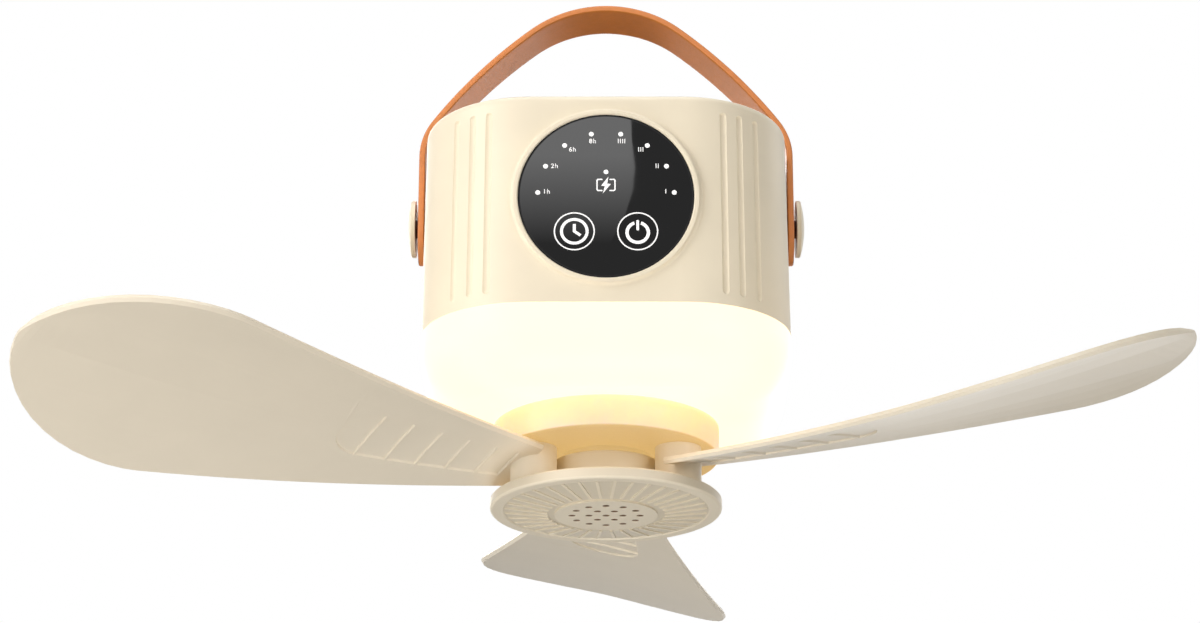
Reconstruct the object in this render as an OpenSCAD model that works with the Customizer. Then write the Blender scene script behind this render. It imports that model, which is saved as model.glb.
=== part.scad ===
// Hanging camping fan with a lamp ring, three folding blades and a leather strap.
// The origin is the point under the strap's arch where a hook carries the fan;
// everything hangs below it, and the rotor turns about the Z axis.
// The control panel faces -Y and the charging port faces +Y.

/* [Body] */
// Width and depth of the body at the seam between housing and lamp
body_w = 115.6; // [100:0.2:140]
// Radius of the body's upright corners at the seam
corner_r = 34.6; // [26:0.1:46]
// Height of the housing above the seam
housing_h = 69.1; // [66:0.1:90]
// How far each side leans in between the seam and the top
body_draft = 0.7; // [0.3:0.1:1.5]
// Rounding of the housing's top edge
top_fillet = 3; // [1:0.5:6]
// Thickness of the housing's side walls
housing_wall = 2.2; // [1.6:0.1:3]
// Thickness of the housing's top wall
top_wall = 2.6; // [1.6:0.1:4]

/* [Lamp] */
// Height of the opal lamp cover below the seam
lamp_h = 21.4; // [21:0.1:30]
// Rounding of the lamp cover's bottom edge
lamp_fillet = 16.5; // [8:0.5:18]
// Thickness of the lamp cover
lamp_wall = 2; // [1.2:0.1:3]
// Number of light chips in the lamp
chip_n = 24; // [12:1:36]

/* [Control panel] */
// Radius of the round black panel
panel_r = 27; // [22:0.5:29]
// Height of the panel's centre above the seam
panel_rise = 34.4; // [31:0.1:38]
// Thickness of the panel
panel_t = 2; // [1:0.1:3]
// How far the panel's ring stands out from the front wall
ring_rise = 1.6; // [0.8:0.1:3]
// Width of the panel's ring
ring_w = 1.8; // [1.2:0.1:3]
// How far the panel lies below the crest of its ring
panel_recess = 0.5; // [0.2:0.1:0.8]

/* [Grooves] */
// Number of upright grooves on each front corner
groove_n = 3; // [1:1:3]
// Distance of the first groove from the middle
groove_x = 36.5; // [34:0.1:38]
// Spacing of the grooves
groove_pitch = 5.2; // [4:0.1:6]
// Radius of the grooves' round bottom
groove_r = 1.3; // [0.8:0.1:2]
// Depth of the grooves
groove_depth = 0.7; // [0.3:0.05:0.9]
// Distance of the grooves' ends from the seam
groove_foot = 3.3; // [2.5:0.1:10]
// Distance of the grooves' ends from the top
groove_head = 5.2; // [4:0.1:15]

/* [Strap] */
// Width of the leather strap
strap_w = 18; // [12:0.5:22]
// Thickness of the strap
strap_t = 2; // [1.2:0.1:3]
// Outer radius of the arch at its top
arch_r = 40; // [34:0.5:45]
// Slope where the arch runs into the strap's shoulder, in degrees
arch_slope = 38; // [34:1:42]
// Slope where the shoulder runs into the lower bend, in degrees
bend_slope = 54; // [50:1:58]
// Outer radius of the bend from the shoulder into the upright leg
bend_r = 21; // [16:0.5:24]
// Length of the upright leg from the bend to the screw
strap_leg = 22.2; // [21.5:0.1:25]
// Length of the strap's tail below the screw
strap_tail = 12.2; // [10:0.1:16]
// Depth of the strap's screws below the housing's top
pivot_depth = 22.7; // [20:0.1:26]
// Radius of the collars that the strap turns on
collar_r = 2.9; // [2.4:0.1:3.5]
// Length of collar that shows between the strap and its knob
collar_show = 1; // [0.4:0.1:2]
// Thickness of the washers between the strap and the housing
washer_t = 1.2; // [1.2:0.1:2.5]
// Radius of the domed knobs
knob_r = 9.3; // [7:0.1:11]
// Thickness of the knobs' rim
knob_rim = 1.5; // [0.9:0.1:2]
// Height of the knobs' dome above their rim
knob_dome = 1.2; // [0.8:0.1:3]

/* [Rotor] */
// Radius of the upper disc, which the motor drives
carrier_r = 35.8; // [34:0.1:40]
// Thickness of the upper disc
carrier_t = 9.9; // [8:0.1:14]
// Gap between the lamp and the upper disc
rotor_gap = 0.7; // [0.5:0.1:2]
// Gap between the two discs, where the blades are hinged
blade_gap = 13.3; // [12.6:0.1:18]
// Radius of the lower disc
cap_r = 36.5; // [34:0.1:40]
// Thickness of the lower disc at its rim
cap_t = 3.7; // [3.2:0.1:6]
// How far the lower disc's middle stands below its rim
cap_dish = 1.4; // [0.8:0.1:2.5]
// Radius of the drum in the middle of the lower disc
drum_r = 17.4; // [17:0.1:18]
// Slit between the drum and the upper disc
drum_gap = 2; // [0.8:0.1:2.5]
// Number of fine ribs under the lower disc
cap_rib_n = 36; // [18:1:40]
// Width of the fine ribs
cap_rib_w = 0.9; // [0.5:0.1:1.4]
// Radius of the outer ring of grille holes
grille_r = 10.7; // [9.5:0.1:10.8]
// Radius of each grille hole
grille_hole_r = 0.85; // [0.5:0.05:0.9]

/* [Blades] */
// Distance of the blade tips from the rotor's axis
tip_r = 194.8; // [160:0.1:240]
// Length of a blade's rounded tip
tip_len = 53.8; // [45:0.1:62]
// Fullness of the rounded tip
tip_power = 1.65; // [1.4:0.05:2.4]
// Leading half of the chord at the root
lead_root = 10.8; // [8:0.1:11]
// Trailing half of the chord at the root
trail_root = 14; // [10:0.1:14.2]
// Leading half of the chord where the tip begins
lead_wide = 44.2; // [32:0.1:48]
// Trailing half of the chord where the tip begins
trail_wide = 42.3; // [32:0.1:48]
// How far the trailing edge curves in between root and tip
trail_sag = 0.3; // [0:0.1:3]
// Thickness of a blade
blade_t = 2.2; // [1.6:0.1:2.4]
// Pitch of the blades at mid span, in degrees
blade_pitch = 13.8; // [8:0.1:14.5]
// How much flatter the blades' ends stand than their middle, in degrees
end_twist = 1.4; // [0:0.1:4]
// Height that a blade gains towards its tip
tip_lift = 13.3; // [0:0.1:20]
// Radius of the blades' hollow camber
camber_r = 255; // [230:5:900]
// Distance of the hinge pins from the rotor's axis
hinge_r = 26; // [25.6:0.1:27]
// Radius of the hinge knuckles
knuckle_r = 7.25; // [6:0.05:7.4]
// Radius of the hinge pins
pin_r = 2.5; // [1.5:0.1:3]
// Distance of the grip hollow's far end from the rotor's axis
grip_end = 92.7; // [88:0.1:110]
// Depth of the grip hollow under each blade
grip_depth = 0.6; // [0.3:0.1:0.8]
// Number of grip ribs
grip_rib_n = 5; // [1:1:5]
// Spacing of the grip ribs
grip_rib_pitch = 10.1; // [6:0.1:10.4]

/* [Motor and battery] */
// Radius of the motor's shaft
shaft_r = 2.5; // [1.5:0.1:3]
// Radius of the motor's turning bell
bell_r = 17; // [16:0.1:18]
// Number of stator teeth and coils
tooth_n = 9; // [6:3:9]
// Radius of a battery cell
cell_r = 9.2; // [7:0.1:9.3]
// Length of a battery cell
cell_len = 65; // [50:0.5:66]
// Number of battery cells
cell_n = 3; // [1:1:3]

/* [Fits] */
// Radial clearance of turning pins and shafts
run_c = 0.05; // [0.02:0.01:0.1]
// Radial clearance of fixed pins and covers
seat_c = 0.02; // [0.01:0.01:0.05]
// Space left between parts that pass each other
pass_c = 0.3; // [0.2:0.05:0.5]

/* [Hidden] */

CREAM = "#f3e6cc";
LEATHER = "#d98956";
OPAL = "#fffff0";
GLOSS_BLACK = "#202022";
RUBBER = "#1b1a19";
BROWN = "#4a2f20";
STEEL = "#b9bcc0";
BRASS = "#c9a24e";
BOARD = "#1d5b3a";
WHITE = "#f4f4f0";
COPPER = "#b8693a";
IRON = "#4c4e52";
CELL = "#3c7fb8";

$fn = 96;

// Where the three blades are hinged, as angles about the rotor's axis
ANGLE_LEFT = 210;
ANGLE_RIGHT = -30;
ANGLE_BACK = 90;
BLADE_ANGLES = [ANGLE_LEFT, ANGLE_RIGHT, ANGLE_BACK];

// --- body outline ---
half_w = body_w / 2;
corner_c = half_w - corner_r;
lean = atan(body_draft / housing_h);

// Half width of the housing's outside at a height above the seam
function side_at(rise) = half_w - rise * tan(lean);

// How far a wall with round corners falls away at a distance from its middle
function wall_sag(r, x) = r - sqrt(r * r - pow(max(0, x - corner_c), 2));

// --- strap, from the hook down to the screws ---
pivot_rise = housing_h - pivot_depth;
pad_r = 4.5;
pad_x = side_at(pivot_rise) + 0.15;
strap_x = pad_x + washer_t + strap_t;
shoulder_w = strap_x - arch_r * sin(arch_slope) - bend_r * (1 - sin(bend_slope));
shoulder_r = shoulder_w / (sin(bend_slope) - sin(arch_slope));
arch_centre = [0, strap_t - arch_r];
shoulder_centre = arch_centre + (arch_r - shoulder_r) * [sin(arch_slope), cos(arch_slope)];
bend_centre = shoulder_centre + (shoulder_r - bend_r) * [sin(bend_slope), cos(bend_slope)];
bend_z = bend_centre.y;
pivot_z = bend_z - strap_leg;
collar_end_x = strap_x + collar_show;
strap_screw_r = 1.6;
washer_r = collar_r + 1.3;
nut_r = 3;
nut_len = 6;
strap_boss_r = nut_r + 2;
strap_boss_len = nut_len + 1.5;

// --- levels ---
top_z = pivot_z + pivot_depth;
seam_z = top_z - housing_h;
panel_z = seam_z + panel_rise;
lamp_z = seam_z - lamp_h;
lamp_floor_z = lamp_z + lamp_wall;
carrier_z = lamp_z - rotor_gap;
carrier_low_z = carrier_z - carrier_t;
cap_z = carrier_low_z - blade_gap;
cap_rim_z = cap_z - cap_t;
cap_low_z = cap_rim_z - cap_dish;
drum_z = carrier_low_z - drum_gap;

// --- front panel, in heights above the front wall ---
glass_top = ring_rise - panel_recess;
glass_low = glass_top - panel_t;
ring_in_r = panel_r + seat_c;
ring_out_r = ring_in_r + ring_w;
window_r = panel_r - 3;
board_t = 1.6;
board_r = panel_r + 1;
ring_sag = wall_sag(corner_r, ring_out_r);
seat_depth = housing_wall + wall_sag(corner_r - housing_wall, board_r + 1) + 0.3;
key_x = 9.65;
key_y = -11.9;
key_r = 6;
dot_r = 20.9;
dot_step = 25;
dot_n = 8;
charge_y = 7.75;

// --- mid frame and battery ---
frame_t = 2.5;
frame_lip = 4;
frame_wall = 1.8;
frame_top_z = seam_z + frame_t;
boss_reach = 15;
boss_x = corner_c + boss_reach;
boss_r = 3.6;
body_screw_r = 1.25;
body_head_r = 2.4;
body_head_h = 1.8;
body_screw_len = 10;
wire_slot_w = 12;
wire_slot_h = 4;
wire_slot_reach = 8;
board_post_h = 4;
board_margin = 15;
main_board_z = frame_top_z + board_post_h;
main_board_w = cell_len - board_margin;
board_end_y = half_w - housing_wall - 2.4;
board_start_y = -30;
board_post_x = main_board_w / 2 - 5;
board_post_y = 24;
holder_z = main_board_z + board_t + 0.4;
holder_floor = 2;
holder_wall = 2;
cell_gap = 0.8;
cell_step = 2 * cell_r + cell_gap;
cell_z = holder_z + holder_floor + cell_r;
holder_len = cell_len + 2;
holder_w = cell_n * cell_step;
holder_post_x = main_board_w / 2 + 5;
holder_post_y = 4;
post_r = 2.5;

// --- charging port ---
usb_w = 8.94;
usb_h = 3.26;
usb_len = 7.35;
usb_shell = 0.3;
usb_z = main_board_z + board_t + usb_h / 2;
port_gap = 0.2;
port_rim = 1.6;
port_depth = 1;
port_cut = 6;
port_y =side_at(usb_z - seam_z) - port_depth;
usb_y = port_y - 0.1;

// --- motor in the middle of the lamp ---
cup_r = bell_r + 2.5;
cup_wall = 2;
bearing_r = shaft_r + 1.5;
bearing_h = 3;
tube_r = bearing_r + 1.1;
base_t = 1.6;
base_z = seam_z - base_t;
base_r = bell_r - 3;
bell_z = lamp_floor_z + 1.2;
bell_floor = 1.6;
bell_wall = 1.5;
bell_top_z = base_z - 0.8;
magnet_t = 2.4;
air_gap = 0.5;
stator_r = bell_r - bell_wall - magnet_t - air_gap;
stator_z = bell_z + bell_floor + 1.6;
stator_top_z = base_z - 2.2;
stator_h = stator_top_z - stator_z;
tube_z = bell_z + bell_floor + 0.5;
tooth_w = 2;
coil_w = 4.2;

// --- lamp lights ---
led_board_z = seam_z - board_t;
led_board_r = min(half_w - lamp_wall - frame_wall - 3, boss_x * sqrt(2) - body_head_r - 1);
led_ring_r = (cup_r + cup_wall + led_board_r) / 2;
chip = 3.5;
chip_h = 0.8;

// --- hub ---
drum_wall = 2;
post_h_above_cap = 5;
hub_post_r = drum_r - drum_wall - pass_c;
hub_post_in_r = hub_post_r - 4.6;
hub_post_z = cap_z + post_h_above_cap;
hub_post_floor = 2.6;
hub_boss_r = shaft_r + 4;
carrier_floor = 2.6;
carrier_wall = 2.2;
carrier_rib_w = 1.6;
carrier_rib_h = 3.6;
seat_ring_r = hub_post_r - 3.2;
hub_screw_r = 0.9;
hub_screw_ring = hub_post_r - 2;
hub_screw_n = 3;
hub_head_r = 1.7;
hub_head_h = 1.4;
hub_screw_bite = 3.5;
pin_boss_r = pin_r + 3;
pin_socket = 2.2;
pin_top_z = carrier_low_z + 5;
cap_floor_t = 2.6;
groove_in_r = drum_r - 1.2;
groove_out_r = drum_r + 0.9;
dish_floor = 0.5;
groove_up = 0.7;
rib_out_r = cap_r - 4.4;

// --- blades ---
root_r = hinge_r + 2.3;
tip_start = tip_r - tip_len;
lift_start = 45;
twist_mid = 105;
blade_rest = 0.54;
blade_z = cap_z + blade_rest * blade_gap;
tip_skew = 0.07;
edge_bevel = 0.7;
grip_start = hinge_r + knuckle_r + 1;
grip_rib_w = 0.9;
grip_step = 0.3;
grip_lead = 6;
grip_trail = 8.2;
grip_lead_grow = 0.124;
grip_trail_grow = 0.057;
grip_round = 10.5;

// ---------------------------------------------------------------- shared forms

// Solid with a rounded-square plan. Its child is half of the upright section, drawn
// outwards from the centre of a corner; span is the distance of that centre from
// the axis, and the middle is filled from low to high.
module rounded_square(span, low, high) {
    for (turn = [0:90:270])
        rotate([0, 0, turn])
        translate([span, span, 0]) {
            rotate_extrude(angle = 90) children();
            rotate([90, 0, 0]) linear_extrude(2 * span) children();
        }
    translate([-span, -span, low]) cube([2 * span, 2 * span, high - low]);
}

// Quarter of a disc in the first quadrant
module quarter(r) {
    intersection() {
        circle(r);
        square(r);
    }
}

// Section of the drafted housing, from a corner's centre outwards
module drafted_section(inset, low, high, fillet) {
    foot_r = corner_r - inset - (low - seam_z) * tan(lean);
    head_r = corner_r - inset - (high - seam_z) * tan(lean);
    mid = [head_r + fillet * (tan(lean) - 1 / cos(lean)), high - fillet];
    polygon([[0, low], [foot_r, low], mid + fillet * [cos(lean), sin(lean)], mid,
        [mid.x, high], [0, high]]);
    translate(mid) intersection() {
        circle(fillet);
        polygon([[0, 0], 2 * fillet * [cos(lean), sin(lean)], [2 * fillet, 2 * fillet],
            [0, 2 * fillet]]);
    }
}

// Section of the lamp cover, from a corner's centre outwards
module lamp_section(r, low, fillet) {
    translate([0, low]) square([r - fillet, seam_z - low]);
    translate([0, low + fillet]) square([r, seam_z - low - fillet]);
    translate([r - fillet, low + fillet]) mirror([0, 1]) quarter(fillet);
}

// Puts its children on the front wall, with +Z pointing out of the panel
module on_panel() {
    translate([0, -side_at(panel_rise), panel_z]) rotate([90 - lean, 0, 0]) children();
}

// Puts its children at a strap screw, with +Z pointing outwards; side is 1 or -1
module on_pivot(side) {
    translate([0, 0, pivot_z]) rotate([0, 90 * side, 0]) children();
}

// Upright tube
module tube(outer, inner, low, high) {
    translate([0, 0, low]) difference() {
        cylinder(h = high - low, r = outer);
        translate([0, 0, -1]) cylinder(h = high - low + 2, r = inner);
    }
}

// Flat bar with round ends
module slot(w, h, depth) {
    linear_extrude(depth) {
        square([w - h, h], center = true);
        translate([(w - h) / 2, 0]) circle(d = h);
        translate([-(w - h) / 2, 0]) circle(d = h);
    }
}

// ---------------------------------------------------------------- strap

// Points of an arc about a centre from one slope to another, without its first point
function arc_points(centre, r, from, to) =
    [for (k = [1:12]) let (a = from + (to - from) * k / 12) centre + r * [sin(a), cos(a)]];

// Right half of the strap's outer (inset 0) or inner face, from the apex to the leg
function arch_points(inset) = concat(
    [[0, strap_t - inset]],
    arc_points(arch_centre, arch_r - inset, 0, arch_slope),
    arc_points(shoulder_centre, shoulder_r - inset, arch_slope, bend_slope),
    arc_points(bend_centre, bend_r - inset, bend_slope, 90));

// Outline of the arch with its two bends, down to half way along the legs
module arch_outline() {
    leg_z = bend_z - strap_leg / 2;
    outer = concat(arch_points(0), [[strap_x, leg_z]]);
    inner = concat(arch_points(strap_t), [[strap_x - strap_t, leg_z]]);
    last = len(inner) - 1;
    half = concat(outer, [for (k = [last:-1:0]) inner[k]]);
    polygon(half);
    mirror([1, 0]) polygon(half);
}

// Upright leg with a round lower end and the screw's hole
module strap_leg_side() {
    end_z = pivot_z - strap_tail + strap_w / 2;
    difference() {
        translate([strap_x - strap_t, 0, 0]) rotate([90, 0, 90]) linear_extrude(strap_t) {
            translate([-strap_w / 2, end_z]) square([strap_w, bend_z - 2 - end_z]);
            translate([0, end_z]) circle(d = strap_w);
        }
        on_pivot(1)
            translate([0, 0, strap_x - strap_t - 1])
            cylinder(h = strap_t + 2, r = collar_r + run_c);
    }
}

module handle_strap() {
    color(LEATHER) {
        translate([0, strap_w / 2, 0]) rotate([90, 0, 0]) linear_extrude(strap_w) arch_outline();
        for (side = [0, 1]) mirror([side, 0, 0]) strap_leg_side();
    }
}

// Domed knob with the screw that holds the strap, drawn along +Z
module strap_knob() {
    soft = 0.5;
    dome_foot_r = knob_r - soft;
    dome_r = (dome_foot_r * dome_foot_r + knob_dome * knob_dome) / (2 * knob_dome);
    translate([0, 0, collar_end_x]) rotate_extrude() {
        square([knob_r, knob_rim - soft]);
        translate([0, knob_rim - soft]) square([dome_foot_r, soft]);
        translate([dome_foot_r, knob_rim - soft]) quarter(soft);
        intersection() {
            translate([0, knob_rim + knob_dome - dome_r]) circle(dome_r);
            translate([0, knob_rim]) square([knob_r, knob_dome + 1]);
        }
    }
    screw_low = pad_x - housing_wall - nut_len;
    translate([0, 0, screw_low]) cylinder(h = collar_end_x - screw_low, r = strap_screw_r);
}

module strap_knob_left() {
    color(CREAM) on_pivot(-1) strap_knob();
}

module strap_knob_right() {
    color(CREAM) on_pivot(1) strap_knob();
}

// Rubber washers that keep the strap off the housing
module strap_washers() {
    color(RUBBER) for (side = [-1, 1])
        on_pivot(side) tube(washer_r, strap_screw_r + seat_c, pad_x, pad_x + washer_t);
}

// Collars that run through the strap's holes
module strap_collars() {
    color(BROWN) for (side = [-1, 1])
        on_pivot(side) tube(collar_r, strap_screw_r + seat_c, pad_x + washer_t, collar_end_x);
}

// Brass inserts inside the housing that take the knobs' screws
module strap_nuts() {
    low = pad_x - housing_wall - nut_len;
    color(BRASS) for (side = [-1, 1])
        on_pivot(side) tube(nut_r, strap_screw_r + seat_c, low, low + nut_len);
}

// ---------------------------------------------------------------- housing

// Section of the ring around the panel, with a soft crest and a concave foot
module ring_section() {
    soft = ring_w / 3;
    foot = 1;
    sunk = ring_sag + housing_wall / 2;
    translate([ring_in_r, -sunk]) square([ring_w, ring_rise - soft + sunk]);
    translate([ring_in_r + soft, ring_rise - soft]) square([ring_w - 2 * soft, soft]);
    translate([ring_out_r - soft, ring_rise - soft]) quarter(soft);
    translate([ring_in_r + soft, ring_rise - soft]) mirror([1, 0]) quarter(soft);
    translate([ring_out_r, 0]) {
        translate([0, -sunk]) square([foot, sunk]);
        difference() {
            square(foot);
            translate([foot, foot]) circle(foot);
        }
    }
}

// Round-ended channel along a corner, at a distance from the middle
module corner_groove(x) {
    turn = asin((x - corner_c) / corner_r);
    low = seam_z + groove_foot + groove_r;
    span = housing_h - groove_foot - groove_head - 2 * groove_r;
    axis_r = corner_r - (low - seam_z) * tan(lean) + groove_r - groove_depth;
    translate([corner_c, -corner_c, low])
        rotate([0, 0, turn])
        translate([0, -axis_r, 0])
        rotate([-lean, 0, 0])
        rotate_extrude() {
            square([groove_r, span]);
            translate([0, span]) quarter(groove_r);
            mirror([0, 1]) quarter(groove_r);
        }
}

// Outside of the housing with the panel's ring and the pads for the strap
module housing_solid() {
    rounded_square(corner_c, seam_z, top_z)
        drafted_section(0, seam_z, top_z, top_fillet);
    on_panel() rotate_extrude() ring_section();
    for (side = [-1, 1])
        on_pivot(side) translate([0, 0, pad_x - 2]) cylinder(h = 2, r = pad_r);
}

// Inside of the housing, open at the seam
module housing_hollow() {
    roof = top_z - top_wall;
    rounded_square(corner_c, seam_z - 1, roof)
        drafted_section(housing_wall, seam_z - 1, roof, top_fillet / 2);
}

// Bosses inside the housing for the control board, the body screws and the nuts
module housing_bosses() {
    on_panel() translate([0, 0, -seat_depth])
        cylinder(h = seat_depth - housing_wall / 2, r = board_r + 1);
    for (x = [-boss_x, boss_x], y = [-boss_x, boss_x])
        translate([x, y, frame_top_z]) cylinder(h = top_z - top_wall - frame_top_z + 0.5, r = boss_r);
    for (side = [-1, 1])
        on_pivot(side)
        translate([0, 0, pad_x - housing_wall - strap_boss_len])
        cylinder(h = strap_boss_len + housing_wall / 2, r = strap_boss_r);
}

// Holes for the glass, the screws and the charging port
module housing_holes() {
    on_panel() {
        translate([0, 0, glass_low]) cylinder(h = ring_rise + 3, r = ring_in_r);
        translate([0, 0, -seat_depth - 1]) cylinder(h = seat_depth + 2, r = window_r);
    }
    for (side = [-1, 1])
        on_pivot(side) {
            translate([0, 0, pad_x - housing_wall - strap_boss_len - 1])
                cylinder(h = strap_boss_len + housing_wall + 2, r = strap_screw_r + seat_c);
            translate([0, 0, pad_x - housing_wall - strap_boss_len - 1])
                cylinder(h = strap_boss_len + 1, r = nut_r + seat_c);
        }
    for (x = [-boss_x, boss_x], y = [-boss_x, boss_x])
        translate([x, y, frame_top_z - 1])
            cylinder(h = body_screw_len + 1.5, r = body_screw_r + seat_c);
    translate([0, port_y - housing_wall - 2, usb_z]) rotate([-90, 0, 0]) {
        slot(usb_w + 2 * port_gap, usb_h + 2 * port_gap, housing_wall + port_cut);
        translate([0, 0, housing_wall + 2])
            slot(usb_w + 2 * port_rim, usb_h + 2 * port_rim, port_depth + 3);
    }
    for (side = [0, 1], k = [0:groove_n - 1])
        mirror([side, 0, 0]) corner_groove(groove_x + k * groove_pitch);
}

module housing_shell() {
    color(CREAM) difference() {
        union() {
            difference() {
                housing_solid();
                housing_hollow();
            }
            housing_bosses();
        }
        housing_holes();
    }
}

// ---------------------------------------------------------------- control panel

// Glossy round cover with a softened edge
module touch_panel() {
    soft = 0.3;
    color(GLOSS_BLACK) on_panel() translate([0, 0, glass_low]) rotate_extrude() {
        square([panel_r, panel_t - soft]);
        translate([0, panel_t - soft]) square([panel_r - soft, soft]);
        translate([panel_r - soft, panel_t - soft]) quarter(soft);
    }
}

module control_board() {
    color(BOARD) on_panel()
        translate([0, 0, -seat_depth - board_t]) cylinder(h = board_t, r = board_r);
}

// Eight mode lights in an arc and the charge light above the battery sign
module indicator_leds() {
    size = 1.6;
    height = 0.9;
    color(WHITE) on_panel() translate([0, 0, -seat_depth]) {
        for (k = [0:dot_n - 1])
            rotate([0, 0, dot_step * (k - (dot_n - 1) / 2)])
            translate([-size / 2, dot_r - size / 2, 0])
            cube([size, size, height]);
        translate([-size / 2, charge_y - size / 2, 0]) cube([size, size, height]);
    }
}

// Springy pads that carry the touch through to the board
module touch_pads() {
    color(IRON) on_panel() for (x = [-key_x, key_x])
        translate([x, key_y, -seat_depth]) cylinder(h = seat_depth + glass_low, r = key_r);
}

// ---------------------------------------------------------------- frame and battery

module mid_frame() {
    plate_r = corner_r - housing_wall - frame_t * tan(lean) - seat_c;
    lip_r = corner_r - lamp_wall - seat_c;
    color(WHITE) difference() {
        union() {
            difference() {
                rounded_square(corner_c, seam_z - frame_lip, frame_top_z)
                    polygon([[0, seam_z - frame_lip], [lip_r, seam_z - frame_lip],
                        [lip_r, seam_z], [plate_r, seam_z], [plate_r, frame_top_z],
                        [0, frame_top_z]]);
                rounded_square(corner_c, seam_z - frame_lip - 1, seam_z)
                    translate([0, seam_z - frame_lip - 1])
                    square([lip_r - frame_wall, frame_lip + 1]);
            }
            tube(cup_r + cup_wall, cup_r, lamp_floor_z + pass_c, seam_z + 1);
            for (x = [-board_post_x, board_post_x], y = [-board_post_y, board_post_y])
                translate([x, y, seam_z + 1])
                    cylinder(h = frame_t + board_post_h - 1, r = post_r);
            for (x = [-holder_post_x, holder_post_x], y = [-holder_post_y, holder_post_y])
                translate([x, y, seam_z + 1]) cylinder(h = holder_z - seam_z - 1, r = post_r);
        }
        for (x = [-boss_x, boss_x], y = [-boss_x, boss_x])
            translate([x, y, seam_z - 1]) cylinder(h = frame_t + 2, r = body_screw_r + seat_c);
        for (x = [-cup_r, cup_r])
            translate([x, -corner_c - wire_slot_reach, seam_z - 1])
                slot(wire_slot_w, wire_slot_h, frame_t + 2);
    }
}

// Four screws that draw the frame up against the housing's bosses
module body_screws() {
    color(STEEL) for (x = [-boss_x, boss_x], y = [-boss_x, boss_x])
        translate([x, y, seam_z]) {
            translate([0, 0, -body_head_h]) cylinder(h = body_head_h, r = body_head_r);
            cylinder(h = body_screw_len, r = body_screw_r);
        }
}

module main_board() {
    color(BOARD) translate([-main_board_w / 2, board_start_y, main_board_z])
        cube([main_board_w, board_end_y - board_start_y, board_t]);
}

// Metal shell of the charging socket with its tongue
module usb_socket() {
    tongue_w = 6.7;
    tongue_t = 0.7;
    color(STEEL) translate([0, usb_y, usb_z]) rotate([90, 0, 0]) {
        difference() {
            slot(usb_w, usb_h, usb_len);
            translate([0, 0, -1])
                slot(usb_w - 2 * usb_shell, usb_h - 2 * usb_shell, usb_len);
        }
        translate([-tongue_w / 2, -tongue_t / 2, 1.4]) cube([tongue_w, tongue_t, usb_len - 2]);
    }
}

// Tray with a half-round cradle under each cell
module battery_holder() {
    wall_h = holder_floor + cell_r;
    outer_len = holder_len + 2 * holder_wall;
    outer_w = holder_w + 2 * holder_wall;
    color(WHITE) difference() {
        translate([-outer_len / 2, -outer_w / 2, holder_z]) cube([outer_len, outer_w, wall_h]);
        for (k = [0:cell_n - 1])
            translate([-holder_len / 2, (k - (cell_n - 1) / 2) * cell_step, cell_z])
                rotate([0, 90, 0])
                cylinder(h = holder_len, r = cell_r + seat_c);
    }
}

// Cells with their raised positive ends
module battery_cells() {
    cap_len = 1;
    color(CELL) for (k = [0:cell_n - 1])
        translate([-cell_len / 2, (k - (cell_n - 1) / 2) * cell_step, cell_z])
            rotate([0, 90, 0]) {
                cylinder(h = cell_len - cap_len, r = cell_r);
                cylinder(h = cell_len, r = cell_r / 3);
            }
}

// ---------------------------------------------------------------- lamp

// Opal cover with a rounded bottom edge and a hole for the shaft
module lamp_cover() {
    color(OPAL) difference() {
        rounded_square(corner_c, lamp_z, seam_z) lamp_section(corner_r, lamp_z, lamp_fillet);
        rounded_square(corner_c, lamp_floor_z, seam_z + 1) {
            lamp_section(corner_r - lamp_wall, lamp_floor_z, lamp_fillet - lamp_wall);
            translate([0, seam_z - 1]) square([corner_r - lamp_wall, 2]);
        }
        translate([0, 0, lamp_z - 1]) cylinder(h = lamp_wall + 2, r = shaft_r + 1.5);
    }
}

module led_board() {
    color(WHITE) tube(led_board_r, cup_r + cup_wall + seat_c, led_board_z, seam_z);
}

// Light chips around the lamp
module lamp_leds() {
    color("#ffd98a") for (k = [0:chip_n - 1])
        rotate([0, 0, 360 / chip_n * k])
        translate([led_ring_r - chip / 2, -chip / 2, led_board_z - chip_h])
        cube([chip, chip, chip_h]);
}

// ---------------------------------------------------------------- motor

// Flange and bearing tube that carry the motor
module motor_base() {
    color(STEEL) difference() {
        union() {
            translate([0, 0, base_z]) cylinder(h = base_t, r = base_r);
            translate([0, 0, tube_z]) cylinder(h = base_z - tube_z + 1, r = tube_r);
        }
        translate([0, 0, tube_z - 1]) cylinder(h = seam_z - tube_z + 2, r = bearing_r + seat_c);
    }
}

module motor_bearings() {
    color(STEEL) for (low = [tube_z, seam_z - 0.4 - bearing_h])
        tube(bearing_r, shaft_r + run_c, low, low + bearing_h);
}

// Toothed iron core with a curved shoe at the end of each tooth
module stator_core() {
    shoe_t = 1.4;
    shoe_angle = 0.72 * 360 / tooth_n;
    ring_out = tube_r + seat_c + 1.8;
    wedge = 2 * stator_r * [cos(shoe_angle / 2), sin(shoe_angle / 2)];
    color(IRON) translate([0, 0, stator_z]) linear_extrude(stator_h) {
        difference() {
            circle(ring_out);
            circle(tube_r + seat_c);
        }
        for (k = [0:tooth_n - 1])
            rotate(360 / tooth_n * k) {
                translate([ring_out - 0.4, -tooth_w / 2])
                    square([stator_r - shoe_t / 2 - ring_out + 0.4, tooth_w]);
                intersection() {
                    difference() {
                        circle(stator_r);
                        circle(stator_r - shoe_t);
                    }
                    polygon([[0, 0], [wedge.x, -wedge.y], wedge]);
                }
            }
    }
}

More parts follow.
